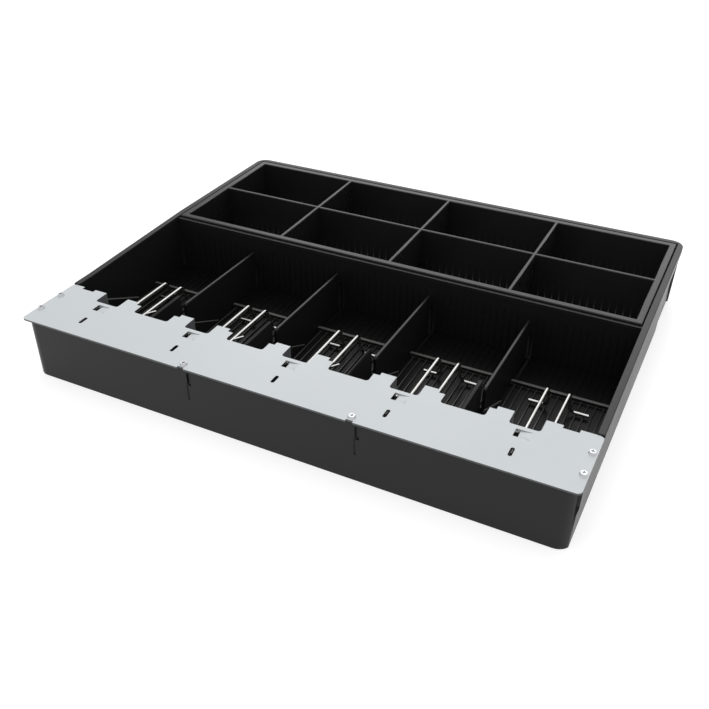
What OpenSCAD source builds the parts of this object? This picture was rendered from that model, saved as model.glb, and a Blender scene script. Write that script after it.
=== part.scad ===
// Cash drawer insert: five note compartments with sprung wire clips under a steel cover plate,
// and a lift-out coin tray behind them. Millimetres, X to the right, Y to the back, Z up.
// The origin is the middle of the footprint, on the surface the insert stands on.

/* [Tray] */
// overall width over the rim
tray_w = 372; // [352:1:420]
// overall depth from the front edge of the plate to the back of the rim
tray_d = 300; // [290:1:330]
// height to the top of the rim
tray_h = 48; // [46:1:56]
// width of the rim seen from above
rim_w = 4.5; // [4:0.1:6]
// height of the lip round the rim
lip_h = 5; // [4:0.5:8]
// overhang of the lip past the wall
lip_out = 0.8; // [0.5:0.1:1.2]
// top of the floor above the table
floor_top = 4; // [3.5:0.1:5]
// radius of the upright corners
corner_r = 9; // [6:0.5:9.5]
// height of the floor ribs
rib_h = 1.2; // [0.8:0.1:2]
// number of floor ribs in each compartment
rib_n = 14; // [8:1:16]

/* [Cover plate] */
// depth of the plate
plate_d = 50.5; // [49:0.5:54]
// sheet thickness
plate_t = 1.2; // [1:0.1:1.5]
// rim height above the plate
rim_up = 4; // [3:0.5:5]
// width of the notch each clip swings through
notch_w = 18.4; // [18:0.1:19.4]
// distance of the notch bottoms from the front edge
notch_y = 39; // [37:0.5:40]

/* [Dividers] */
// thickness of a note divider
divider_t = 2; // [1.6:0.1:2.4]
// height of a divider above the floor at its front end
divider_h = 32; // [28:1:35]

/* [Clips] */
// wire diameter of the note clips
wire_d = 2.3; // [1.8:0.1:2.4]
// distance between the two arms of a clip
arm_gap = 14; // [13.5:0.1:14]
// how far a foot reaches out from its arm
foot_l = 12.5; // [9:0.5:14]
// distance of the clip tips from the front edge
tip_y = 107.5; // [102:0.5:112]
// diameter of the clip axle
axle_d = 3; // [2.8:0.1:3]
// wire diameter of the torsion springs
spring_d = 0.9; // [0.8:0.05:0.9]

/* [Coin tray] */
// front face of the coin tray behind the front edge
coin_y = 169.2; // [169.2:0.1:172]
// width of the coin tray rim
coin_rim = 4.75; // [4:0.25:6]
// thickness of the walls between coin cups
cup_wall = 2.5; // [2:0.1:3.5]
// radius of the scoop at the front of each cup
scoop_r = 30; // [22:1:32]
// free space round the coin tray
coin_gap = 0.5; // [0.4:0.1:0.9]

/* [Hidden] */
$fn = 48;
e = 0.01;
half_w = tray_w / 2;
wall_x = half_w - lip_out;
wall_in = half_w - rim_w;
wall_front = 1.5;
front_in = 4.5;
back_in = tray_d - rim_w;
plate_top = tray_h - rim_up;
seat_z = plate_top - plate_t;
pitch = (2 * wall_in + divider_t) / 5;
ends = [-1, 1];
places = [0:4];
gaps = [0:3];
// screws, from the front edge
side_screw_x = half_w - 2.9;
side_screw_y = [15.5, 34.2];
front_screw_x = 57.2;
front_screw_y = 4.2;
pilot_l = 10;
// punching and pivots sit left of the middle of a compartment, the clip arms right of it
pattern_x = -1.8;
arm_x = 1.1;
tab_x = 19;
shoulder_x = 22.9;
head_d = 5;
head_h = 1.5;
shank_d = 2.4;
shank_l = 10;
// axle and clip heights
axle_y = 42;
axle_z = plate_top - 7.75;
ear_t = 1.2;
ear_y = 38.5;
ear_drop = 11.5;
arm_z = plate_top - 19;
bar_y = 58;
bar_r = 4;
lever_left = [-5.2, 1.74];
lever_right = [4.2, 0];
tail_from = [7.6, 5.6];
tail_to = [12.6, 12.6];
tail_d = 1.6;
foot_lean = 6.1;
foot_z = floor_top + rib_h + wire_d / 2 + 0.3;
eye_w = wire_d + 0.3;
axle_fit = 0.05;
eye_r = axle_d / 2 + axle_fit + wire_d;
// partition in front of the coin tray
part_t = 2.4;
part_y = coin_y - coin_gap - part_t;
part_top = plate_top + 2.4;
step_y = 128;
step_t = 2.4;
step_h = 3;
rib_t = 0.9;
fine_rib_t = 0.7;
fine_rib_h = 0.6;
rib_front = 60;
divider_front = 73.5;
divider_r = 2.5;
seat_end = 71.5;
divider_back = part_y - 3.2;
slot_fit = 0.15;
wedge_h = 18;
wedge_t = 1.6;
wedge_end = 109;
rail_h = 20;
// the rim falls towards the plate, the side walls lean in towards the table
ramp_y = [65, 175];
ramp_h = 0.9;
draft = 1.4;
inner_r = 4;
// recess at the rear corners of the side walls
recess_back = 8;
recess_l = 48;
recess_top = plate_top - 11;
recess_in = 2.2;
// coin tray
coin_x = wall_in - coin_gap;
coin_back = back_in - coin_gap - 0.3;
coin_bottom = floor_top + 0.3;
cup_floor = coin_bottom + 2;
cup_end = coin_x - coin_rim;
wall_at = 0.5135 * cup_end;
cup_x = [-cup_end, cup_wall / 2 - wall_at, cup_wall / 2, cup_wall / 2 + wall_at];
outer_cup = cup_end - wall_at - cup_wall / 2;
inner_cup = wall_at - cup_wall;
cup_w = [outer_cup, inner_cup, inner_cup, outer_cup];
cup_d = (coin_back - coin_y - 2 * coin_rim - cup_wall) / 2;
cup_rib_n = 15;
// window and flap beside the spring, and the slot in front of it
flap_x = 3.7;
flap_l = 6.6;
flap_y = 29.2;
flap_w = 7;
flap_tilt = 9;
window_l = 9.2;
slot_x = -1.8;
slot_y = 16;
// torsion spring
coil_r = axle_d / 2 + 1.1;
coil_turns = 6;
coil_pitch = 1.5;
bend_steps = 5;

function place_x(i) = (i - 2) * pitch;
function gap_x(i) = (i - 1.5) * pitch;
function unit(v) = v / norm(v);

// everything is drawn from the front edge of the plate, then moved to the middle
module from_front() translate([0, -tray_d / 2, 0]) children();

module block(x0, x1, y0, y1, z0, z1) translate([x0, y0, z0]) cube([x1 - x0, y1 - y0, z1 - z0]);

module both_sides() for (s = ends) mirror([s < 0 ? 1 : 0, 0, 0]) children();

module rounded(x0, x1, y0, y1, r) {
    translate([x0 + r, y0]) square([x1 - x0 - 2 * r, y1 - y0]);
    translate([x0, y0 + r]) square([x1 - x0, y1 - y0 - 2 * r]);
    for (x = [x0 + r, x1 - r], y = [y0 + r, y1 - r]) translate([x, y]) circle(r);
}

// a cylinder from one point to another
module rod(a, b, d) {
    v = b - a;
    translate(a) rotate([0, acos(v[2] / norm(v)), atan2(v[1], v[0])]) cylinder(h = norm(v), d = d);
}

// points of a wire through the corners p, each corner i rounded with radius r[i]
function turn(p, i) = acos(unit(p[i] - p[i - 1]) * unit(p[i + 1] - p[i]));
function bend(p, r, i) = let (u = unit(p[i] - p[i - 1]), w = unit(cross(u, p[i + 1] - p[i])), n = cross(w, u),
                              a = p[i] - u * r[i] * tan(turn(p, i) / 2), c = a + n * r[i])
    [for (k = [0 : bend_steps]) let (t = turn(p, i) * k / bend_steps) c + r[i] * (sin(t) * u - cos(t) * n)];
function bent(p, r) = [p[0], for (i = [1 : len(p) - 2]) each bend(p, r, i), p[len(p) - 1]];

// a round tube with s sides along the points p
function along(p, i) = i == 0 ? unit(p[1] - p[0]) : i == len(p) - 1 ? unit(p[i] - p[i - 1])
    : unit(unit(p[i + 1] - p[i]) + unit(p[i] - p[i - 1]));
function square_to(v, t) = unit(v - (v * t) * t);
function sides(p) = [for (i = 0, v = square_to([1, 0.1, 0.2], along(p, 0)); i < len(p);
                          i = i + 1, v = i < len(p) ? square_to(v, along(p, i)) : v) v];
module tube(p, r, s) {
    n = len(p);
    v = sides(p);
    m = n * s - s;
    ring_of = [for (i = [0 : n - 1], k = [0 : s - 1])
               p[i] + r * (cos(360 * k / s) * v[i] + sin(360 * k / s) * cross(along(p, i), v[i]))];
    polyhedron(points = ring_of, faces = concat(
        [for (i = [0 : n - 2], k = [0 : s - 1]) [i * s + k, i * s + s + k, i * s + s + (k + 1) % s]],
        [for (i = [0 : n - 2], k = [0 : s - 1]) [i * s + k, i * s + s + (k + 1) % s, i * s + (k + 1) % s]],
        [for (k = [1 : s - 2]) [0, k, k + 1]],
        [for (k = [1 : s - 2]) [m, m + k + 1, m + k]]));
}

// Outer tray

module tray_shell() {
    difference() {
        union() {
            linear_extrude(seat_z) rounded(-wall_x, wall_x, wall_front, tray_d - lip_out, corner_r);
            intersection() {
                linear_extrude(tray_h) rounded(-wall_x, wall_x, wall_front, tray_d - lip_out, corner_r);
                block(-half_w, half_w, plate_d + 0.3, tray_d, 0, tray_h);
            }
            intersection() {
                translate([0, 0, tray_h - lip_h]) linear_extrude(lip_h)
                    rounded(-half_w, half_w, 0, tray_d, corner_r);
                block(-half_w, half_w, plate_d + 0.3, tray_d, 0, tray_h);
            }
        }
        translate([0, 0, floor_top]) linear_extrude(tray_h)
            rounded(-wall_in, wall_in, front_in, part_y + inner_r, inner_r);
        block(-wall_in, wall_in, part_y - inner_r, back_in, floor_top, tray_h + 1);
        along_x(-half_w - 1, half_w + 1)
            polygon([[plate_d, plate_top + ramp_h], [ramp_y[0], plate_top + ramp_h], [ramp_y[1], tray_h],
                     [ramp_y[1], tray_h + 1], [plate_d, tray_h + 1]]);
        both_sides() translate([0, tray_d + 1, 0]) rotate([90, 0, 0]) linear_extrude(tray_d + 2)
            polygon([[wall_x - draft, -1], [wall_x, tray_h - lip_h], [half_w + 1, tray_h - lip_h],
                     [half_w + 1, -1]]);
        // hollow underside that leaves a standing edge
        block(-half_w + 12, half_w - 12, 12, part_y - 6, -1, 1.5);
        block(-half_w + 12, half_w - 12, part_y + 6, tray_d - 12, -1, 1.5);
        both_sides() {
            // pocket at the front corner and recess at the rear corner of the side wall
            block(wall_x - 2.5, half_w, 5.5, 13, seat_z - 20, seat_z + 1);
            block(wall_x - recess_in, half_w, tray_d - recess_back - recess_l, tray_d - recess_back,
                  -1, recess_top);
        }
        // stepped groove beside each front screw
        for (s = ends) translate([pattern_x + s * front_screw_x, 0, seat_z]) {
            block(3.1, 5.7, 0, wall_front + 1.1, -11.5, -2.5);
            block(2.4, 3.8, 0, wall_front + 0.8, -23, -11);
        }
    }
}

module screw_bosses() {
    both_sides() for (y = side_screw_y)
        block(side_screw_x - 4, wall_in + e, y - 3.5, y + 3.5, seat_z - 22, seat_z);
    for (s = ends) translate([pattern_x + s * front_screw_x, 0, 0])
        block(-4, 4, front_in - e, front_screw_y + 4, seat_z - 22, seat_z);
}

module pilot_holes() {
    for (s = ends) {
        for (y = side_screw_y) translate([s * side_screw_x, y, seat_z - pilot_l])
            cylinder(h = pilot_l + 1, d = shank_d + 0.1);
        translate([pattern_x + s * front_screw_x, front_screw_y, seat_z - pilot_l])
            cylinder(h = pilot_l + 1, d = shank_d + 0.1);
    }
}

// ribs on the front floor, closed by a cross rib, and fine ribs behind that run up the partition
module floor_ribs() {
    clear_w = pitch - divider_t - 7;
    cross_w = pitch - divider_t - 0.8;
    step = clear_w / (rib_n - 1);
    for (i = places) {
        x0 = place_x(i) - clear_w / 2;
        block(place_x(i) - cross_w / 2, place_x(i) + cross_w / 2, step_y, step_y + step_t,
              floor_top - e, floor_top + step_h);
        for (k = [0 : rib_n - 1]) {
            x = x0 + k * step;
            block(x - rib_t / 2, x + rib_t / 2, rib_front, step_y + e, floor_top - e, floor_top + rib_h);
            block(x - fine_rib_t / 2, x + fine_rib_t / 2, step_y + step_t - e, part_y + e,
                  floor_top - e, floor_top + fine_rib_h);
            block(x - fine_rib_t / 2, x + fine_rib_t / 2, part_y - fine_rib_h, part_y + e,
                  floor_top, plate_top - 7);
        }
    }
}

// wedge at the foot of a divider or a side wall, falling to the floor under the clip
module wedge(x0, x1) along_x(x0, x1)
    polygon([[seat_end - 3, floor_top - e], [seat_end - 3, floor_top + wedge_h], [seat_end, floor_top + wedge_h],
             [wedge_end, floor_top], [wedge_end, floor_top - e]]);

// fixed ribs under the plate, wedges and small rails that hold the dividers
module divider_seats() for (i = gaps) {
    x = gap_x(i);
    o = divider_t / 2 + slot_fit;
    block(x - o - 2.2, x - o, front_in - e, seat_end, floor_top - e, seat_z);
    for (s = ends) {
        wedge(x + (s > 0 ? o : -o - wedge_t), x + (s > 0 ? o + wedge_t : -o));
        block(x + (s > 0 ? o : -o - 1), x + (s > 0 ? o + 1 : -o), divider_back - 1.5, part_y + e,
              floor_top - e, floor_top + rail_h);
    }
}

module outer_tray() color([0.1, 0.1, 0.11]) from_front() difference() {
    union() {
        tray_shell();
        block(-wall_in - e, wall_in + e, part_y, part_y + part_t, floor_top - e, part_top);
        screw_bosses();
        floor_ribs();
        for (s = ends) wedge(s > 0 ? wall_in - wedge_t : -wall_in - e, s > 0 ? wall_in + e : wedge_t - wall_in);
        divider_seats();
    }
    pilot_holes();
}

// Coin tray

module cup_profile(y0, grow, low) intersection() {
    translate([y0, low]) square([cup_d, tray_h + 1 - low]);
    union() {
        translate([y0, cup_floor + scoop_r]) square([cup_d, tray_h]);
        translate([y0 + scoop_r, low]) square([cup_d, tray_h]);
        translate([y0 + scoop_r, cup_floor + scoop_r]) circle(scoop_r + grow, $fn = 96);
    }
}

// a YZ outline pulled along X
module along_x(x0, x1) translate([x0, 0, 0]) rotate([90, 0, 90]) linear_extrude(x1 - x0) children();

module coin_tray() color([0.09, 0.09, 0.1]) from_front() {
    rows = [coin_y + coin_rim, coin_y + coin_rim + cup_d + cup_wall];
    // low ribs on the floor and up the scoop of every cup
    for (y = rows, i = [0:3], k = [1 : cup_rib_n]) {
        m = cup_x[i] + cup_w[i] * k / (cup_rib_n + 1);
        along_x(m - fine_rib_t / 2, m + fine_rib_t / 2) difference() {
            cup_profile(y, e, cup_floor - e);
            cup_profile(y - e, -fine_rib_h, cup_floor + fine_rib_h);
            translate([y - 1, cup_floor + scoop_r * 0.8]) square([cup_d + 2, tray_h]);
        }
    }
    difference() {
        block(-coin_x, coin_x, coin_y, coin_back, coin_bottom, tray_h);
        for (y = rows) {
            for (i = [0:3]) along_x(cup_x[i], cup_x[i] + cup_w[i]) cup_profile(y, 0, cup_floor);
            // relief under the scoop, so that it is a shell
            along_x(-coin_x - 1, coin_x + 1) difference() {
                translate([y == rows[0] ? coin_y - 1 : y, coin_bottom - 1])
                    square([y == rows[0] ? scoop_r + coin_rim + 1 : scoop_r, scoop_r * 0.8]);
                translate([y + scoop_r, cup_floor + scoop_r]) circle(scoop_r + 2, $fn = 96);
            }
        }
    }
}

// Cover plate

module notch(x0, x1, y0, r) {
    translate([x0, y0 + r]) square([x1 - x0, plate_d]);
    translate([x0 + r, y0]) square([x1 - x0 - 2 * r, plate_d]);
    for (x = [x0 + r, x1 - r]) translate([x, y0 + r]) circle(r);
}

module slot(x, y, w, l) {
    translate([x - w / 2, y - l / 2 + w / 2]) square([w, l - w]);
    for (s = ends) translate([x, y + s * (l - w) / 2]) circle(d = w);
}

module plate_outline() difference() {
    rounded(-half_w, half_w, 0, plate_d, 3);
    translate([pattern_x, 0]) {
        for (i = places) notch(place_x(i) - notch_w / 2, place_x(i) + notch_w / 2, notch_y, 2);
        for (i = gaps) notch(gap_x(i) - pitch / 2 + shoulder_x, gap_x(i) + pitch / 2 - shoulder_x, notch_y, 2);
        for (i = places, s = ends) {
            outer = place_x(i) * s > pitch * 1.5;
            l = outer ? 9.5 : shoulder_x - tab_x + e;
            translate([place_x(i) + s * tab_x - (s < 0 ? l : 0), outer ? plate_d - 2.7 : plate_d - 3])
                square([l, 10]);
        }
        for (s = ends) translate([s * front_screw_x, 0]) {
            translate([0, front_screw_y]) circle(d = 3.2);
            translate([-2.25, -1]) square([4.5, 2.4]);
        }
    }
    for (i = places) {
        slot(place_x(i) + slot_x, slot_y, 2.4, 7.5);
        translate([place_x(i) + flap_x - window_l, flap_y]) square([window_l, flap_w]);
    }
    for (s = ends, y = side_screw_y) translate([s * side_screw_x, y]) circle(d = 3.2);
}

module cover_plate() color([0.83, 0.85, 0.86]) from_front() {
    translate([0, 0, seat_z]) linear_extrude(plate_t) plate_outline();
    for (i = places) {
        // pressed flap that anchors the spring, hinged at its right edge
        translate([place_x(i) + flap_x + e, flap_y + 0.3, plate_top]) rotate([0, -flap_tilt, 0])
            block(-flap_l, 0.05, 0, flap_w - 0.6, -plate_t, 0);
        // ears bent down beside the notch, with the holes for the axle
        translate([place_x(i) + pattern_x, 0, 0]) for (s = ends) difference() {
            block(s > 0 ? notch_w / 2 : -notch_w / 2 - ear_t, s > 0 ? notch_w / 2 + ear_t : -notch_w / 2,
                  ear_y, plate_d, plate_top - ear_drop, seat_z + e);
            translate([-notch_w, axle_y, axle_z]) rotate([0, 90, 0])
                cylinder(h = 2 * notch_w, d = axle_d + 2 * axle_fit);
        }
    }
}

// Note dividers

module divider_fin(i) color([0.1, 0.1, 0.11]) from_front()
    along_x(gap_x(i) - divider_t / 2, gap_x(i) + divider_t / 2) {
        r = divider_r;
        top = floor_top + divider_h;
        polygon([[divider_front, floor_top], [divider_back, floor_top], [divider_back, top - 1.5],
                 [divider_front + r, top], [divider_front + r, top - r], [divider_front, top - r]]);
        translate([divider_front + r, top - r]) intersection() {
            circle(r);
            translate([-r, 0]) square([r, r]);
        }
    }

// Note clips: one wire bent to a U with turned-out feet, on two levers with eyes for the axle

module clip(i) color([0.86, 0.87, 0.88]) from_front() translate([place_x(i), 0, 0]) {
    x = arm_gap / 2;
    half = [[x + foot_l, tip_y + foot_lean, foot_z], [x, tip_y + foot_lean, foot_z],
            [x, tip_y, arm_z - 0.3], [x, bar_y, arm_z]];
    other = [for (k = [3 : -1 : 0]) [-half[k][0], half[k][1], half[k][2]]];
    translate([arm_x, 0, 0]) tube(bent(concat(half, other), [0, 4, 4, bar_r, bar_r, 4, 4, 0]), wire_d / 2, 12);
    // open end of the wire beside the right arm
    rod([tail_from[0], bar_y + tail_from[1], arm_z], [tail_to[0], bar_y + tail_to[1], arm_z], tail_d);
    for (s = ends) {
        eye = [pattern_x + s * x, axle_y, axle_z];
        to = s < 0 ? lever_left : lever_right;
        end = [to[0], bar_y + to[1], arm_z];
        rod(eye + unit(end - eye) * (axle_d / 2 + axle_fit + wire_d / 2), end, wire_d * 0.9);
        translate([eye[0] - eye_w / 2, axle_y, axle_z]) rotate([0, 90, 0]) difference() {
            cylinder(h = eye_w, r = eye_r);
            translate([0, 0, -1]) cylinder(h = eye_w + 2, d = axle_d + 2 * axle_fit);
        }
    }
}

// Axles

module axle(i) color([0.7, 0.71, 0.72]) from_front() translate([place_x(i) + pattern_x, axle_y, axle_z]) {
    left = notch_w / 2 + ear_t;
    translate([-left - 2.2, 0, 0]) rotate([0, 90, 0]) cylinder(h = 2 * left + 4.4, d = axle_d);
    translate([-left - 1.9, 0, 0]) rotate([0, 90, 0]) cylinder(h = 1.6, d = axle_d + 2.4);
}

// Torsion springs: one leg under the plate, one on the cross piece of the clip

leg_end = [bar_y + 2 - axle_y, arm_z + wire_d / 2 + spring_d / 2 + 0.3 - axle_z];
leave = atan2(leg_end[1], leg_end[0]) + acos(coil_r / norm(leg_end));
sweep = 360 * coil_turns + 90 - leave;
coil_l = coil_pitch * sweep / 360;
coil_steps = ceil(sweep / 45);
coil = [for (k = [0 : coil_steps]) let (a = 90 - sweep * k / coil_steps)
        [coil_l * (k / coil_steps - 0.5), coil_r * cos(a), coil_r * sin(a)]];
plate_leg_z = seat_z - axle_z - spring_d / 2 - 0.3;
spring_path = concat([[-coil_l / 2, -16, plate_leg_z], [-coil_l / 2, -5, plate_leg_z]],
                     coil, [[coil_l / 2, leg_end[0], leg_end[1]]]);
// least free distance between two turns, measured between points a turn or more apart
spring_gap = min([for (i = [0 : len(coil) - 1], j = [0 : len(coil) - 1])
                  if (j >= i + 6) norm(coil[i] - coil[j])]) - spring_d;
echo(spring_gap = spring_gap);

module spring(i) color([0.6, 0.61, 0.63]) from_front() translate([place_x(i) + pattern_x, axle_y, axle_z])
    tube(spring_path, spring_d / 2, 6);

// Screws

module screw() {
    difference() {
        cylinder(h = head_h, d1 = head_d, d2 = head_d - 1.4);
        for (a = [0, 90]) rotate([0, 0, a]) block(-1.2, 1.2, -0.3, 0.3, head_h - 0.7, head_h + 1);
    }
    translate([0, 0, -shank_l]) cylinder(h = shank_l + e, d = shank_d);
}

module side_screws() color([0.75, 0.76, 0.77]) from_front()
    for (s = ends, y = side_screw_y) translate([s * side_screw_x, y, plate_top]) screw();

module front_screws() color([0.75, 0.76, 0.77]) from_front()
    for (s = ends) translate([pattern_x + s * front_screw_x, front_screw_y, plate_top]) screw();

module bill_divider_1() divider_fin(0);
module bill_divider_2() divider_fin(1);
module bill_divider_3() divider_fin(2);
module bill_divider_4() divider_fin(3);
module bill_clip_1() clip(0);
module bill_clip_2() clip(1);
module bill_clip_3() clip(2);
module bill_clip_4() clip(3);
module bill_clip_5() clip(4);
module clip_axle_1() axle(0);
module clip_axle_2() axle(1);
module clip_axle_3() axle(2);
module clip_axle_4() axle(3);
module clip_axle_5() axle(4);
module clip_spring_1() spring(0);
module clip_spring_2() spring(1);
module clip_spring_3() spring(2);
module clip_spring_4() spring(3);
module clip_spring_5() spring(4);

outer_tray();
coin_tray();
cover_plate();
bill_divider_1();
bill_divider_2();
bill_divider_3();
bill_divider_4();
bill_clip_1();
bill_clip_2();
bill_clip_3();
bill_clip_4();
bill_clip_5();
clip_axle_1();
clip_axle_2();
clip_axle_3();
clip_axle_4();
clip_axle_5();
clip_spring_1();
clip_spring_2();
clip_spring_3();
clip_spring_4();
clip_spring_5();
side_screws();
front_screws();
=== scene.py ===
# %% [markdown]
# # A cash drawer insert, dressed in Blender
# The insert is a black moulded tray with five banknote compartments, a grey steel plate over its
# front, sprung wire clips and a lift-out coin tray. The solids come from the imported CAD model, so
# every size and place here is read from that frame. This lesson softens the moulded edges, draws the
# wires as real wires, and builds the finishes from shader nodes.

import math

import bmesh
import bpy
from mathutils import Matrix, Vector


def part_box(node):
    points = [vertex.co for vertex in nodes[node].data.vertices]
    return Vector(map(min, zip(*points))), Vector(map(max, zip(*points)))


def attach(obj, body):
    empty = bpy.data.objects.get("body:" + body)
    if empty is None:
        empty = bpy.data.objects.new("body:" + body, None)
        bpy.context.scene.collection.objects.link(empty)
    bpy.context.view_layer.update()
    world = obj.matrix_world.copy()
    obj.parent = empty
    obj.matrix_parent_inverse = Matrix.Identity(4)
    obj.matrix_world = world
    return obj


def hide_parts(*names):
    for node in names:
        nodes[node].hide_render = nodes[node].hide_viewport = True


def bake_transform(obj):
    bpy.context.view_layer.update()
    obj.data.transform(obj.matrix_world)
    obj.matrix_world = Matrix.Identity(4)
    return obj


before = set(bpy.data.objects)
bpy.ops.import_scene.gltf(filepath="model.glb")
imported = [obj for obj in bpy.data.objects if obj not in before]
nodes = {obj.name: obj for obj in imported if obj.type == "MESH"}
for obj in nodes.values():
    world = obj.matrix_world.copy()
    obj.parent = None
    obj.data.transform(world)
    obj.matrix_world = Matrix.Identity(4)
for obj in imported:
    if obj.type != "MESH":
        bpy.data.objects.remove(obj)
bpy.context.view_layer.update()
MM = 0.001

# %% [markdown]
# ## Helpers for pieces
# A CAD node arrives as loose triangles. A copy of it can be merged, its flat parts joined to single
# faces, and its long edges rounded with a bevel, because moulded plastic and painted sheet never have
# knife edges and it is the rounded edge that catches the light. The CAD node itself is left alone.

# %% Helpers for pieces
SMOOTH_ANGLE = math.radians(35)
LARGE_FLAT = 150 * MM * MM
CORNER_ANGLE = math.radians(50)
FLAT_ANGLE = math.radians(0.5)
SAME_POINT = 0.002 * MM


def add_piece(name, bm, material, body, replaced=()):
    """Turns a bmesh into a piece that rides on a CAD body."""
    mesh = bpy.data.meshes.new(name)
    bm.to_mesh(mesh)
    bm.free()
    mesh.polygons.foreach_set("use_smooth", [face.area < LARGE_FLAT for face in mesh.polygons])
    mesh.set_sharp_from_angle(angle=SMOOTH_ANGLE)
    mesh.materials.append(material)
    piece = bpy.data.objects.new(name, mesh)
    bpy.context.scene.collection.objects.link(piece)
    if replaced:
        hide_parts(*replaced)
    weighted = piece.modifiers.new("flat_faces_stay_flat", "WEIGHTED_NORMAL")
    weighted.keep_sharp = True
    if body:
        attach(piece, body)
    return piece


def merged_copy(node, flatten=True):
    """A bmesh of a CAD node with its loose triangles joined, if wanted to whole flat faces."""
    bm = bmesh.new()
    bm.from_mesh(nodes[node].data)
    bmesh.ops.remove_doubles(bm, verts=bm.verts, dist=SAME_POINT)
    if flatten:
        bmesh.ops.dissolve_limit(bm, angle_limit=FLAT_ANGLE, verts=bm.verts, edges=bm.edges)
    return bm


def is_corner(edge, least=CORNER_ANGLE):
    """True for an edge between two faces that meet at a clear angle."""
    return len(edge.link_faces) == 2 and edge.calc_face_angle(0) > least


def soften(bm, edges, width, segments=2, clamp=True):
    """Rounds the given edges."""
    if edges:
        bmesh.ops.bevel(bm, geom=edges, offset=width, offset_type="OFFSET", affect="EDGES",
                        segments=segments, profile=0.5, material=-1, clamp_overlap=clamp)
    return len(edges)


def level(edge, low, high):
    """True if both ends of an edge lie between two heights."""
    return all(low <= v.co.z <= high for v in edge.verts)


print("helpers ready")

# %% [markdown]
# ## Shared surface effects
# Moulded plastic has a fine spark-eroded grain, and paint has a faint orange peel. Both are noise at a
# different scale, so one node group makes them. A second group adds the soft smudges that handling
# leaves, which change only the roughness, and a third finds surfaces that face up, where dust settles.
# A fourth tells the matt inside of a moulding from its satin rim and outer walls and finds its floor and rib
# tops; these masks also carry painted shade inside and a painted highlight on the rib tops. All of them read
# Object coordinates, so the pattern stays on the piece when it moves.

# %% Shared surface effects


def new_group(name, inputs, outputs):
    group = bpy.data.node_groups.new(name, "ShaderNodeTree")
    for label, value in inputs:
        socket = group.interface.new_socket(label, in_out="INPUT", socket_type="NodeSocketFloat")
        socket.default_value = value
    for label in outputs:
        group.interface.new_socket(label, in_out="OUTPUT", socket_type="NodeSocketFloat")
    return group, group.nodes.new("NodeGroupInput"), group.nodes.new("NodeGroupOutput")


def grain_group():
    """Noise as a height."""
    group, source, result = new_group("Surface Grain", [("Scale", 900.0), ("Detail", 2.0)], ["Height"])
    add, link = group.nodes.new, group.links.new
    place, noise = add("ShaderNodeTexCoord"), add("ShaderNodeTexNoise")
    link(place.outputs["Object"], noise.inputs["Vector"])
    link(source.outputs["Scale"], noise.inputs["Scale"])
    link(source.outputs["Detail"], noise.inputs["Detail"])
    link(noise.outputs["Fac"], result.inputs["Height"])
    return group


def handling_group():
    """Roughness that wanders between two values, with broad smudges and short rubbed streaks."""
    group, source, result = new_group("Handling Smudges", [("Low", 0.3), ("High", 0.45), ("Scale", 14.0)],
                                      ["Roughness", "Mask"])
    add, link = group.nodes.new, group.links.new
    place, broad, stretch, streak = (add("ShaderNodeTexCoord"), add("ShaderNodeTexNoise"),
                                     add("ShaderNodeMapping"), add("ShaderNodeTexNoise"))
    stretch.inputs["Scale"].default_value = (40.0, 260.0, 60.0)
    streak.inputs["Scale"].default_value = 1.0
    broad.inputs["Detail"].default_value = 4.0
    both, spread = add("ShaderNodeMath"), add("ShaderNodeMapRange")
    both.operation = "MULTIPLY_ADD"
    both.inputs[1].default_value = 0.35
    spread.inputs["From Min"].default_value = 0.45
    spread.inputs["From Max"].default_value = 0.9
    link(place.outputs["Object"], broad.inputs["Vector"])
    link(source.outputs["Scale"], broad.inputs["Scale"])
    link(place.outputs["Object"], stretch.inputs["Vector"])
    link(stretch.outputs["Vector"], streak.inputs["Vector"])
    link(streak.outputs["Fac"], both.inputs[0])
    link(broad.outputs["Fac"], both.inputs[2])
    link(both.outputs["Value"], spread.inputs["Value"])
    link(source.outputs["Low"], spread.inputs["To Min"])
    link(source.outputs["High"], spread.inputs["To Max"])
    link(spread.outputs["Result"], result.inputs["Roughness"])
    link(broad.outputs["Fac"], result.inputs["Mask"])
    return group


def dust_group():
    """A thin broken veil on surfaces that face up."""
    group, source, result = new_group("Settled Dust", [("Amount", 0.05), ("Scale", 220.0)], ["Mask"])
    add, link = group.nodes.new, group.links.new
    place, shape = add("ShaderNodeTexCoord"), add("ShaderNodeNewGeometry")
    split, speck = add("ShaderNodeSeparateXYZ"), add("ShaderNodeTexNoise")
    upward, spread = add("ShaderNodeMapRange"), add("ShaderNodeMapRange")
    both, weak = add("ShaderNodeMath"), add("ShaderNodeMath")
    upward.inputs["From Min"].default_value = 0.6
    spread.inputs["From Min"].default_value = 0.5
    spread.inputs["From Max"].default_value = 0.75
    both.operation = weak.operation = "MULTIPLY"
    link(shape.outputs["Normal"], split.inputs["Vector"])
    link(split.outputs["Z"], upward.inputs["Value"])
    link(place.outputs["Object"], speck.inputs["Vector"])
    link(source.outputs["Scale"], speck.inputs["Scale"])
    link(speck.outputs["Fac"], spread.inputs["Value"])
    link(upward.outputs["Result"], both.inputs[0])
    link(spread.outputs["Result"], both.inputs[1])
    link(both.outputs["Value"], weak.inputs[0])
    link(source.outputs["Amount"], weak.inputs[1])
    link(weak.outputs["Value"], result.inputs["Mask"])
    return group


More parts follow.
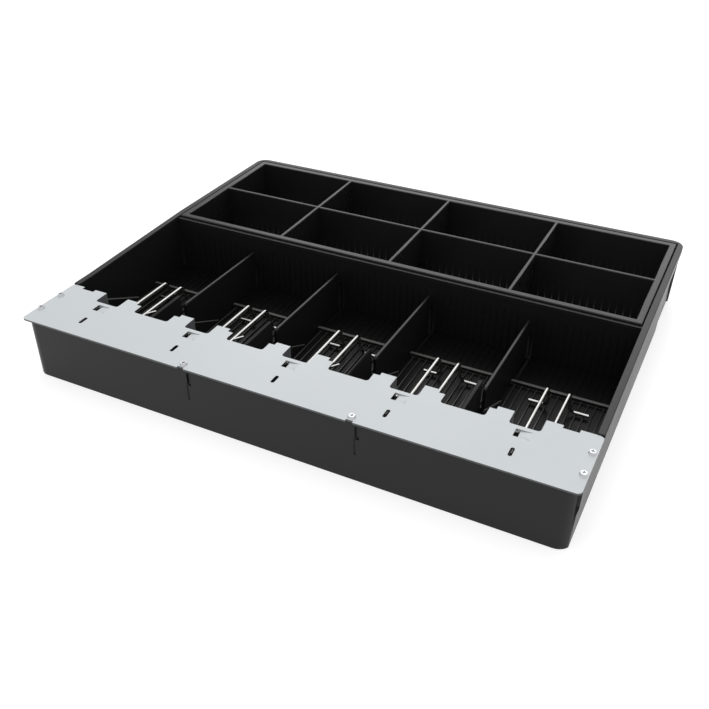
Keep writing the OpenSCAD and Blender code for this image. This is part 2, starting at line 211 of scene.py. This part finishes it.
def inside_group():
    """Masks of the inside, of its floor and of rib tops and wedge edges, from places in metres."""
    bounds = [("Half Width", 0.18), ("Front", -0.145), ("Top", 0.044),
              ("Rib Low", 0.005), ("Rib High", 0.0072), ("Slope High", 0.0)]
    group, source, result = new_group("Deep Inside", bounds, ["Inside", "Floor", "Ribs"])
    add, link = group.nodes.new, group.links.new
    place, split = add("ShaderNodeTexCoord"), add("ShaderNodeSeparateXYZ")
    shape, facing = add("ShaderNodeNewGeometry"), add("ShaderNodeSeparateXYZ")
    link(place.outputs["Object"], split.inputs["Vector"])
    link(shape.outputs["True Normal"], facing.inputs["Vector"])

    def math_node(operation, first, second):
        node = add("ShaderNodeMath")
        node.operation = operation
        for socket, value in zip(node.inputs, (first, second)):
            if isinstance(value, float):
                socket.default_value = value
            else:
                link(value, socket)
        return node.outputs["Value"]

    def below(value, limit):
        return math_node("LESS_THAN", value, limit)

    def above(value, limit):
        return math_node("GREATER_THAN", value, limit)

    def both(first, second):
        return math_node("MULTIPLY", first, second)

    limit, height = source.outputs, split.outputs["Z"]
    width = math_node("ABSOLUTE", split.outputs["X"], 0.0)
    room = both(below(width, limit["Half Width"]), above(split.outputs["Y"], limit["Front"]))
    room = both(room, below(height, limit["Top"]))
    upward = both(above(facing.outputs["Z"], 0.3), room)
    top = both(above(height, limit["Rib Low"]), below(height, limit["Rib High"]))
    slope = both(above(height, limit["Rib Low"]), below(height, limit["Slope High"]))
    slope = both(slope, below(facing.outputs["Z"], 0.97))
    rib = both(math_node("MAXIMUM", top, slope), upward)
    link(room, result.inputs["Inside"])
    link(math_node("SUBTRACT", upward, rib), result.inputs["Floor"])
    link(rib, result.inputs["Ribs"])
    return group


GRAIN, HANDLING, DUST, INSIDE = grain_group(), handling_group(), dust_group(), inside_group()
print("effects", [g.name for g in (GRAIN, HANDLING, DUST, INSIDE)])

# %% [markdown]
# ## Finishes
# The tray is black ABS: nearly no diffuse colour, so what the eye reads is the sheen of the grain. The inside
# is etched matt; the rim and the outer walls carry a satin skin, which is a coat on the shader. The inside is
# kept free of the dust veil and its floor is painted darker, both painted shade. The rib tops and the wedge
# edges carry the full coat and a lighter grey, which is a painted highlight. A finish function takes the
# colour, the roughness range, the grain and the size of the inside, and places the groups in a new material.
# Constant values sit on the shader's own sockets.

# %% Finishes


def place_group(tree, group, **values):
    node = tree.nodes.new("ShaderNodeGroup")
    node.node_tree = group
    for label, value in values.items():
        node.inputs[label].default_value = value
    return node


def start_material(name):
    material = bpy.data.materials.new(name)
    material.use_nodes = True
    tree = material.node_tree
    return material, tree, tree.nodes["Principled BSDF"], tree.links.new


def tint(tree, factor, first, second):
    """Mixes a colour, or a colour socket, with a second colour by a factor socket; returns the socket."""
    mix = tree.nodes.new("ShaderNodeMix")
    mix.data_type = "RGBA"
    if isinstance(first, tuple):
        mix.inputs["A"].default_value = (*first, 1)
    else:
        tree.links.new(first, mix.inputs["A"])
    mix.inputs["B"].default_value = (*second, 1)
    tree.links.new(factor, mix.inputs["Factor"])
    return mix.outputs["Result"]


def darker(colour, share):
    return tuple(v * share for v in colour)


def add_bump(tree, height, shader, strength, depth):
    bump = tree.nodes.new("ShaderNodeBump")
    bump.inputs["Strength"].default_value = strength
    bump.inputs["Distance"].default_value = depth
    tree.links.new(height, bump.inputs["Height"])
    tree.links.new(bump.outputs["Normal"], shader.inputs["Normal"])


def moulded_plastic(name, black, sheen_low, sheen_high, grain_scale, grain_depth, dust, inside_satin, inside):
    material, tree, shader, link = start_material(name)
    grain = place_group(tree, GRAIN, Scale=grain_scale, Detail=2.0)
    hands = place_group(tree, HANDLING, Low=sheen_low, High=sheen_high, Scale=16.0)
    veil = place_group(tree, DUST, Amount=dust, Scale=260.0)
    deep = place_group(tree, INSIDE, **inside)
    grey = tuple(v * 9 + 0.03 for v in black)
    dusty = tint(tree, veil.outputs["Mask"], black, grey)
    # the inside keeps the plain black without the dust veil: painted shade
    inside_shade_painted = tint(tree, deep.outputs["Inside"], dusty, black)
    # the inside floor is painted darker still: painted shade
    shaded = tint(tree, deep.outputs["Floor"], inside_shade_painted, darker(black, FLOOR_PAINTED_SHADE))
    # rib tops and wedge edges are painted a lighter grey: a painted highlight
    link(tint(tree, deep.outputs["Ribs"], shaded, RIB_PAINTED_HIGHLIGHT), shader.inputs["Base Color"])
    satin = tree.nodes.new("ShaderNodeMapRange")
    satin.inputs["To Min"].default_value = OUTSIDE_SATIN
    satin.inputs["To Max"].default_value = inside_satin
    link(deep.outputs["Inside"], satin.inputs["Value"])
    worn = tree.nodes.new("ShaderNodeMath")
    worn.operation = "MAXIMUM"
    link(satin.outputs["Result"], worn.inputs[0])
    link(deep.outputs["Ribs"], worn.inputs[1])
    link(worn.outputs["Value"], shader.inputs["Coat Weight"])
    shader.inputs["Coat Roughness"].default_value = (sheen_low + sheen_high) / 2
    shader.inputs["Specular IOR Level"].default_value = UNDER_COAT_SHINE
    link(hands.outputs["Roughness"], shader.inputs["Roughness"])
    add_bump(tree, grain.outputs["Height"], shader, 0.35, grain_depth)
    shader.inputs["IOR"].default_value = ABS_IOR
    return material


BLACK = (0.013, 0.013, 0.014)
ABS_IOR = 1.52
# painted shade: the share of the black that is left on the inside floor
FLOOR_PAINTED_SHADE = 0.3
OUTSIDE_SATIN = 0.48
UNDER_COAT_SHINE = 0.02
# painted highlight: the lighter grey of the rib tops and wedge edges
RIB_PAINTED_HIGHLIGHT = (0.085, 0.083, 0.078)
tray_black = moulded_plastic("tray_black", BLACK, 0.30, 0.44, 1500.0, 0.05 * MM, 0.05, 0.22,
                             {"Half Width": 0.1816, "Front": -0.1458, "Top": 0.0441, "Slope High": 0.0225})
coin_black = moulded_plastic("coin_black", BLACK, 0.20, 0.32, 1700.0, 0.02 * MM, 0.05, 0.7,
                             {"Half Width": 0.182, "Front": -0.145, "Top": 0.0472})
fin_black = moulded_plastic("fin_black", BLACK, 0.28, 0.40, 1300.0, 0.04 * MM, 0.04, 0.02,
                            {"Half Width": 0.182, "Front": -0.145, "Top": 0.0343})
print("plastics", tray_black.name, coin_black.name, fin_black.name)

# %% [markdown]
# The plate is sheet steel with a light grey powder coat. Faces that stand steeply, the punched edges and the
# ears bent down beside the notches, are mixed towards a darker grey by how steeply they stand; this is painted
# shade. The back edge of the flap windows is left out of the painted shade. The orange peel is a coarse,
# shallow grain.

# %% Powder coat
WINDOW_BACK, WINDOW_REACH = (36.2 - 150) * MM, 0.6 * MM


def powder_coat(name, grey, steep_shade_grey):
    material, tree, shader, link = start_material(name)
    peel = place_group(tree, GRAIN, Scale=700.0, Detail=3.0)
    hands = place_group(tree, HANDLING, Low=0.38, High=0.52, Scale=9.0)
    shape, split = tree.nodes.new("ShaderNodeNewGeometry"), tree.nodes.new("ShaderNodeSeparateXYZ")
    steep = tree.nodes.new("ShaderNodeMapRange")
    steep.inputs["From Min"].default_value = 0.75
    steep.inputs["From Max"].default_value = 0.3
    place, spot = tree.nodes.new("ShaderNodeTexCoord"), tree.nodes.new("ShaderNodeSeparateXYZ")
    window, steep_shade_mask = tree.nodes.new("ShaderNodeMath"), tree.nodes.new("ShaderNodeMath")
    window.operation, steep_shade_mask.operation, steep_shade_mask.use_clamp = "COMPARE", "SUBTRACT", True
    window.inputs[1].default_value = WINDOW_BACK
    window.inputs[2].default_value = WINDOW_REACH
    link(shape.outputs["Normal"], split.inputs["Vector"])
    link(split.outputs["Z"], steep.inputs["Value"])
    link(place.outputs["Object"], spot.inputs["Vector"])
    link(spot.outputs["Y"], window.inputs[0])
    link(steep.outputs["Result"], steep_shade_mask.inputs[0])
    link(window.outputs["Value"], steep_shade_mask.inputs[1])
    cloud = tint(tree, hands.outputs["Mask"], grey, darker(grey, 0.95))
    # steep faces are mixed to a darker grey as painted shade, except the back wall of the flap windows
    link(tint(tree, steep_shade_mask.outputs["Value"], cloud, steep_shade_grey), shader.inputs["Base Color"])
    link(hands.outputs["Roughness"], shader.inputs["Roughness"])
    add_bump(tree, peel.outputs["Height"], shader, 0.25, 0.03 * MM)
    return material


# the second grey is the painted shade of steep faces
plate_grey = powder_coat("plate_grey", (0.60, 0.635, 0.65), (0.11, 0.115, 0.12))
print("paint", plate_grey.name)

# %% [markdown]
# The metals are all one recipe: full metallic, a colour, and a roughness that varies with fine drawn
# lines. Chrome wire is bright and smooth, the axle and the spring are plain drawn steel, and the screws
# are zinc plated.

# %% Metals


def metal(name, colour, low, high, grain_scale, depth):
    material, tree, shader, link = start_material(name)
    grain = place_group(tree, GRAIN, Scale=grain_scale, Detail=2.0)
    hands = place_group(tree, HANDLING, Low=low, High=high, Scale=60.0)
    link(tint(tree, hands.outputs["Mask"], colour, darker(colour, 0.82)), shader.inputs["Base Color"])
    link(hands.outputs["Roughness"], shader.inputs["Roughness"])
    shader.inputs["Metallic"].default_value = 1.0
    add_bump(tree, grain.outputs["Height"], shader, 0.15, depth)
    return material


wire_chrome = metal("wire_chrome", (0.45, 0.445, 0.435), 0.14, 0.28, 1200.0, 0.01 * MM)
axle_steel = metal("axle_steel", (0.62, 0.62, 0.61), 0.28, 0.42, 1500.0, 0.01 * MM)
spring_steel = metal("spring_steel", (0.5, 0.5, 0.49), 0.25, 0.4, 1500.0, 0.01 * MM)
screw_zinc = metal("screw_zinc", (0.56, 0.57, 0.58), 0.34, 0.48, 1400.0, 0.015 * MM)
print("metals", [m.name for m in (wire_chrome, axle_steel, spring_steel, screw_zinc)])

# %% [markdown]
# ## Outer tray
# The tray is one moulding. Its shape is right as it comes from CAD, so a merged copy gets rounded edges
# on the rim, the partition, the floor ribs and the wedges beside the clips, where light lies along them
# in the photograph.

# %% Outer tray
RIM_ROUND = 0.6 * MM
RIB_ROUND = 0.2 * MM
WEDGE_ROUND = 0.5 * MM
FOOT_ROUND = 0.4 * MM
WEDGE_TOP = 18.5 * MM
LONG_RIB = 20 * MM

tray_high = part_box("outer_tray")[1]
plate_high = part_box("cover_plate")[1]
divider_low, divider_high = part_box("bill_divider_1")
floor_z = divider_low.z


def is_slope(edge):
    """True for the long slanting edges of the wedges."""
    run = edge.verts[0].co - edge.verts[1].co
    return abs(run.x) < 0.1 * MM and abs(run.y) > 8 * MM and abs(run.z) > 4 * MM


def softened_tray():
    bm = merged_copy("outer_tray")
    rim = [e for e in bm.edges if is_corner(e) and level(e, plate_high.z - 0.5 * MM, tray_high.z + MM)]
    count = soften(bm, rim, RIM_ROUND, 3)
    ribs = [e for e in bm.edges if is_corner(e) and level(e, floor_z + MM, floor_z + 2.2 * MM)
            and e.calc_length() > LONG_RIB]
    count += soften(bm, ribs, RIB_ROUND)
    wedges = [e for e in bm.edges if is_corner(e) and is_slope(e)
              and level(e, floor_z - MM, floor_z + WEDGE_TOP)]
    count += soften(bm, wedges, WEDGE_ROUND, 3)
    foot = [e for e in bm.edges if is_corner(e) and level(e, -MM, 0.05 * MM)]
    count += soften(bm, foot, FOOT_ROUND)
    return bm, count


bm, count = softened_tray()
outer_tray = add_piece("tray_moulding", bm, tray_black, "tray", ["outer_tray"])
print("tray edges softened", count, "faces", len(outer_tray.data.polygons))

# %% [markdown]
# ## Coin tray
# The coin tray lifts out. The broad rounded rim and the thin walls between the cups are the lightest
# lines of the picture after the plate, so all top edges get a round of their own.

# %% Coin tray
COIN_ROUND = 0.7 * MM

bm = merged_copy("coin_tray")
coin_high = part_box("coin_tray")[1]
top_edges = [e for e in bm.edges if is_corner(e) and level(e, coin_high.z - 0.1 * MM, coin_high.z + MM)]
count = soften(bm, top_edges, COIN_ROUND, 3)
coin_tray = add_piece("coin_moulding", bm, coin_black, "coin_tray", ["coin_tray"])
print("coin tray edges softened", count, "faces", len(coin_tray.data.polygons))

# %% [markdown]
# ## Note dividers
# Each divider is a thin upright fin with a rounded front corner. Its top edge is the only part that
# shines, so it gets a full round.

# %% Note dividers
DIVIDERS = range(1, 5)
DIVIDER_ROUND = 0.5 * MM
DIVIDER_CORNER = math.radians(30)

for i in DIVIDERS:
    node = f"bill_divider_{i}"
    bm = merged_copy(node)
    upper = [e for e in bm.edges if is_corner(e, DIVIDER_CORNER)
             and level(e, divider_low.z + MM, divider_high.z + MM)]
    soften(bm, upper, DIVIDER_ROUND, 2)
    add_piece(f"divider_fin_{i}", bm, fin_black, "tray", [node])
print("dividers", len(DIVIDERS))

# %% [markdown]
# ## Cover plate
# The plate is punched and bent from thin sheet. Its upper outline gets the small round that a punch
# leaves, which draws the thin bright line along every notch.

# %% Cover plate
PUNCH_ROUND = 0.15 * MM

bm = merged_copy("cover_plate", flatten=False)
outline = [e for e in bm.edges if is_corner(e) and level(e, plate_high.z - 0.02 * MM, plate_high.z + MM)]
count = soften(bm, outline, PUNCH_ROUND, 2)
bmesh.ops.dissolve_degenerate(bm, edges=bm.edges, dist=0.001 * MM)
add_piece("plate_sheet", bm, plate_grey, "tray", ["cover_plate"])
print("plate edges softened", count)

# %% [markdown]
# ## Drawing a wire
# A bent wire is a circle that is pushed along its path. In bmesh that is an extrude for every straight
# length and a spin for every bend, each starting from the ring of edges that the last one left. The
# helper keeps the ring, its centre and its heading, so a wire reads like bending instructions.

# %% Drawing a wire


class Wire:
    """A round wire that is bent step by step; ring holds the open end, at its centre, heading its way."""

    def __init__(self, start, heading, radius, sides=14):
        self.bm = bmesh.new()
        self.at, self.heading = Vector(start), Vector(heading).normalized()
        turned = Vector((0, 0, 1)).rotation_difference(self.heading).to_matrix().to_4x4()
        made = bmesh.ops.create_circle(self.bm, cap_ends=False, radius=radius, segments=sides,
                                       matrix=Matrix.Translation(self.at) @ turned)
        self.ring = list({e for v in made["verts"] for e in v.link_edges})
        self.close()

    def close(self):
        bmesh.ops.edgeloop_fill(self.bm, edges=self.ring)

    def straight(self, length):
        made = bmesh.ops.extrude_edge_only(self.bm, edges=self.ring)["geom"]
        step = self.heading * length
        bmesh.ops.translate(self.bm, verts=[g for g in made if isinstance(g, bmesh.types.BMVert)], vec=step)
        self.ring = [g for g in made if isinstance(g, bmesh.types.BMEdge)
                     and all(v in made for v in g.verts)]
        self.at += step
        return self

    def bend(self, axis, angle, radius, steps, advance=0.0):
        """Turns round a centre that lies beside the wire; advance moves it along the axis as a coil."""
        axis = Vector(axis).normalized()
        centre = self.at + axis.cross(self.heading) * radius
        verts = list({v for e in self.ring for v in e.verts})
        made = bmesh.ops.spin(self.bm, geom=verts + self.ring, cent=centre, axis=axis, angle=angle,
                              steps=steps, dvec=axis * (advance / steps), use_duplicate=False, use_merge=False)
        self.ring = [g for g in made["geom_last"] if isinstance(g, bmesh.types.BMEdge)]
        turn = Matrix.Rotation(angle, 4, axis)
        self.at = centre + turn @ (self.at - centre) + axis * advance
        self.heading = (turn @ self.heading).normalized()
        return self

    def finish(self):
        """Closes the end; a ring that has come round to its own start loses the two ends inside it."""
        self.close()
        bmesh.ops.remove_doubles(self.bm, verts=self.bm.verts, dist=0.001 * MM)
        inner = [f for f in self.bm.faces if all(len(e.link_faces) > 2 for e in f.edges)]
        bmesh.ops.delete(self.bm, geom=inner, context="FACES_ONLY")
        bmesh.ops.recalc_face_normals(self.bm, faces=self.bm.faces)
        return self.bm


def follow(corners, radii, radius, sides=14, steps=7):
    """A wire through corner points, each inner corner rounded with its radius."""
    points = [Vector(p) for p in corners]
    ways = [(b - a).normalized() for a, b in zip(points, points[1:])]
    angles = [a.angle(b) for a, b in zip(ways, ways[1:])]
    cuts = [0.0] + [r * math.tan(t / 2) for r, t in zip(radii, angles)] + [0.0]
    wire = Wire(points[0], ways[0], radius, sides)
    for i, way in enumerate(ways):
        wire.straight((points[i + 1] - points[i]).length - cuts[i] - cuts[i + 1])
        if i < len(angles):
            wire.bend(way.cross(ways[i + 1]), angles[i], radii[i], steps)
    return wire.finish()


print("wire bender ready")

# %% [markdown]
# ## Note clips
# A clip is one bright wire that turns on an axle below the plate. The wire comes from a foot, rises to
# the arm, runs level over the notes, turns round in a U and goes the same way back. Two short levers
# with a ring of wire at their end carry the U on the axle, and a short open end sticks out beside the
# right arm. The CAD clip has the same path with flat sides, so a round wire takes its place.

# %% Note clips
CLIPS = range(1, 6)
WIRE_R = 1.15 * MM
LEVER_R = WIRE_R * 0.9
ARM_X = 7 * MM
PIVOT_LEFT = 2.9 * MM
EYE_R, EYE_STEPS = 2.7 * MM, 28
TURN_R, TIP_R, FOOT_R = 4 * MM, 4 * MM, 4 * MM
BAR_BACK, ARM_DROP = 16 * MM, 11.25 * MM
TIP_DROP = 0.3 * MM
LEG_BACK = 6.1 * MM
COLLAR_R = 2.7 * MM
# where the two levers meet the U, and the open wire end, from the middle of the U
LEVER_ENDS = {-1: Vector((-6.3, 1.74, 0)) * MM, 1: Vector((3.1, 0, 0)) * MM}
TAIL_FROM, TAIL_TO, TAIL_R = Vector((6.5, 5.6, 0)) * MM, Vector((11.5, 12.6, 0)) * MM, 0.8 * MM


def axle_line(i):
    """Height and place of an axle, from the collar at its left end."""
    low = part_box(f"clip_axle_{i}")[0]
    return low.y + COLLAR_R, low.z + COLLAR_R


def join(whole, part):
    """Adds one bmesh to another."""
    mesh = bpy.data.meshes.new("part")
    part.to_mesh(mesh)
    part.free()
    whole.from_mesh(mesh)
    bpy.data.meshes.remove(mesh)


def clip_wires(i):
    low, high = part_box(f"bill_clip_{i}")
    middle = (low.x + high.x) / 2
    axle_y, axle_z = axle_line(i)
    arm_z = axle_z - ARM_DROP
    foot_y, foot_z = high.y - WIRE_R, low.z + WIRE_R
    half = [(high.x - middle, foot_y, foot_z), (ARM_X, foot_y, foot_z),
            (ARM_X, foot_y - LEG_BACK, arm_z - TIP_DROP), (ARM_X, axle_y + BAR_BACK, arm_z)]
    corners = [(middle + x, y, z) for x, y, z in half] + [(middle - x, y, z) for x, y, z in reversed(half)]
    whole = follow(corners, [FOOT_R, TIP_R, TURN_R, TURN_R, TIP_R, FOOT_R], WIRE_R)
    bar = Vector((middle, axle_y + BAR_BACK, arm_z))
    tail = TAIL_TO - TAIL_FROM
    join(whole, Wire(bar + TAIL_FROM, tail, TAIL_R).straight(tail.length).finish())
    for side in (-1, 1):
        axle = Vector((middle - PIVOT_LEFT + side * ARM_X, axle_y, axle_z))
        way = bar + LEVER_ENDS[side] - axle
        lever = Wire(axle + way.normalized() * EYE_R, way, LEVER_R).straight(way.length - EYE_R)
        eye = Wire(axle + Vector((0, 0, EYE_R)), (0, -1, 0), WIRE_R)
        eye.bend((1, 0, 0), math.tau, EYE_R, EYE_STEPS)
        join(whole, lever.finish())
        join(whole, eye.finish())
    return whole


for i in CLIPS:
    clip = add_piece(f"note_clip_{i}", clip_wires(i), wire_chrome, f"clip_{i}",
                     [f"bill_clip_{i}"])
print("clips", len(CLIPS), "faces each", len(clip.data.polygons))

# %% [markdown]
# ## Torsion springs
# Each axle carries a small torsion spring. One leg lies under the plate and the other on the U of the clip, so
# the spring twists when the clip is lifted. A spin with an advance winds the coil.

# %% Torsion springs
SPRING_R = 0.45 * MM
COIL_R = 2.6 * MM
LEG_BACK_TO_COIL = 16 * MM
LEG_RISE = 3.2 * MM
LEG_BEND, LEG_BEND_R = math.radians(30), 3 * MM
COIL_TURNS = 6
STEPS_PER_TURN, LEG_STEPS, SPRING_SIDES = 20, 4, 8


def spring_wire(i):
    low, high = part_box(f"clip_spring_{i}")
    axle_y, axle_z = axle_line(i)
    left, right = low.x + SPRING_R, high.x - SPRING_R
    reach = Vector((0, high.y - axle_y, low.z + SPRING_R - axle_z))
    leave = math.atan2(reach.z, reach.y) + math.acos(COIL_R / reach.length)
    sweep = math.tau * COIL_TURNS + math.pi / 2 - leave
    slope = (LEG_RISE - 2 * LEG_BEND_R * (1 - math.cos(LEG_BEND))) / math.sin(LEG_BEND)
    level_run = LEG_BACK_TO_COIL - 2 * LEG_BEND_R * math.sin(LEG_BEND) - slope * math.cos(LEG_BEND)
    wire = Wire((left, axle_y - LEG_BACK_TO_COIL, axle_z + COIL_R + LEG_RISE), (0, 1, 0), SPRING_R,
                SPRING_SIDES)
    wire.straight(level_run)
    wire.bend((-1, 0, 0), LEG_BEND, LEG_BEND_R, LEG_STEPS).straight(slope)
    wire.bend((1, 0, 0), LEG_BEND, LEG_BEND_R, LEG_STEPS)
    wire.bend((-1, 0, 0), sweep, COIL_R, int(STEPS_PER_TURN * sweep / math.tau), left - right)
    wire.straight(math.sqrt(reach.length_squared - COIL_R ** 2) - SPRING_R)
    return wire.finish(), Vector((left, axle_y, axle_z)), Vector((right, axle_y, axle_z))


for i in CLIPS:
    bm, first, last = spring_wire(i)
    spring = add_piece(f"torsion_spring_{i}", bm, spring_steel, None, [f"clip_spring_{i}"])
    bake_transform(spring)
print("springs", len(CLIPS), "faces each", len(spring.data.polygons))

# %% [markdown]
# ## Small metal parts
# Axles and screws keep their CAD shape and take a metal finish.

# %% Small metal parts
small_parts = {f"clip_axle_{i}": axle_steel for i in CLIPS}
small_parts.update(side_screws=screw_zinc, front_screws=screw_zinc)
for node, material in small_parts.items():
    mesh = nodes[node].data
    mesh.materials.clear()
    mesh.materials.append(material)
print("small metal parts", len(small_parts))

# %% [markdown]
# ## Floor and light
# The photograph has a white ground with almost no shadow, and the black plastic shows light only as
# sheen on the rim and the walls. A white floor, a white world and two broad soft lamps give that. One
# lies behind, where the rim mirrors it towards the camera, and the other hangs above the tray.

# %% Floor and light
FLOOR_SIZE = 6.0
FLOOR_GREY = (0.6, 0.6, 0.6, 1)
WORLD_LIGHT = 0.55
FLOOR_GLOW = 0.65
BACK_LAMP_WATTS = 8.5
BACK_LAMP_SIZE = 1.3
BACK_LAMP_AT = (-0.25, 1.05, 0.95)
TOP_LAMP_WATTS = 6.0
TOP_LAMP_SIZE = 1.2
TOP_LAMP_AT = (0.1, -0.2, 1.5)


def seen_directly(tree):
    """A socket that is 1 for camera, mirror and glass rays."""
    path = tree.nodes.new("ShaderNodeLightPath")
    first, second = tree.nodes.new("ShaderNodeMath"), tree.nodes.new("ShaderNodeMath")
    first.operation = second.operation = "MAXIMUM"
    tree.links.new(path.outputs["Is Camera Ray"], first.inputs[0])
    tree.links.new(path.outputs["Is Glossy Ray"], first.inputs[1])
    tree.links.new(first.outputs["Value"], second.inputs[0])
    tree.links.new(path.outputs["Is Transmission Ray"], second.inputs[1])
    return second.outputs["Value"]


def white_floor():
    bm = bmesh.new()
    bmesh.ops.create_grid(bm, x_segments=1, y_segments=1, size=FLOOR_SIZE / 2)
    mesh = bpy.data.meshes.new("floor")
    bm.to_mesh(mesh)
    bm.free()
    material, tree, shader, link = start_material("floor_white")
    shader.inputs["Base Color"].default_value = FLOOR_GREY
    shader.inputs["Roughness"].default_value = 0.9
    shader.inputs["Specular IOR Level"].default_value = 0.0
    shader.inputs["Emission Color"].default_value = (1, 1, 1, 1)
    strength = tree.nodes.new("ShaderNodeMath")
    strength.operation = "MULTIPLY"
    strength.inputs[1].default_value = FLOOR_GLOW
    link(seen_directly(tree), strength.inputs[0])
    link(strength.outputs["Value"], shader.inputs["Emission Strength"])
    mesh.materials.append(material)
    floor = bpy.data.objects.new("floor", mesh)
    bpy.context.scene.collection.objects.link(floor)


def white_world():
    world = bpy.data.worlds.new("white_room")
    bpy.context.scene.world = world
    world.use_nodes = True
    tree = world.node_tree
    back = tree.nodes["Background"]
    back.inputs["Color"].default_value = (1, 1, 1, 1)
    strength = tree.nodes.new("ShaderNodeMapRange")
    strength.inputs["To Min"].default_value = WORLD_LIGHT
    strength.inputs["To Max"].default_value = 1.0
    tree.links.new(seen_directly(tree), strength.inputs["Value"])
    tree.links.new(strength.outputs["Result"], back.inputs["Strength"])


def soft_lamp(name, place, watts, size):
    lamp = bpy.data.lights.new(name, "AREA")
    lamp.energy, lamp.size = watts, size
    holder = bpy.data.objects.new(name, lamp)
    holder.location = place
    holder.rotation_euler = (-Vector(place)).to_track_quat("-Z", "Y").to_euler()
    bpy.context.scene.collection.objects.link(holder)


white_floor()
white_world()
soft_lamp("back_lamp", BACK_LAMP_AT, BACK_LAMP_WATTS, BACK_LAMP_SIZE)
soft_lamp("top_lamp", TOP_LAMP_AT, TOP_LAMP_WATTS, TOP_LAMP_SIZE)
print("floor, world and lamps ready")

# %% [markdown]
# ## Camera
# The photograph was taken from the front right, about 34 degrees above the tray. The distance and the
# focal length come from the vanishing lines of the rim and the plate, for a square frame.

# %% Camera
AZIMUTH, ELEVATION = math.radians(26.702), math.radians(34.303)
AIM = Vector((28.8, 60.4 - 150, 44)) * MM
DISTANCE = 538.1 * MM
FRAME_PIXELS = 709
FOCAL_PIXELS = 871.8
SENSOR_MM = 36

camera_data = bpy.data.cameras.new("photo_camera")
camera_data.sensor_fit = "HORIZONTAL"
camera_data.sensor_width = SENSOR_MM
camera_data.lens = FOCAL_PIXELS / FRAME_PIXELS * SENSOR_MM
camera_data.clip_start = 0.01
camera = bpy.data.objects.new("photo_camera", camera_data)
outwards = Vector((math.sin(AZIMUTH) * math.cos(ELEVATION), -math.cos(AZIMUTH) * math.cos(ELEVATION),
                   math.sin(ELEVATION)))
camera.location = AIM + outwards * DISTANCE
camera.rotation_euler = (-outwards).to_track_quat("-Z", "Y").to_euler()
bpy.context.scene.collection.objects.link(camera)
bpy.context.scene.camera = camera
bpy.context.scene.view_settings.view_transform = "Standard"
print("camera at", [round(v / MM) for v in camera.location], "mm, lens", round(camera_data.lens, 1))
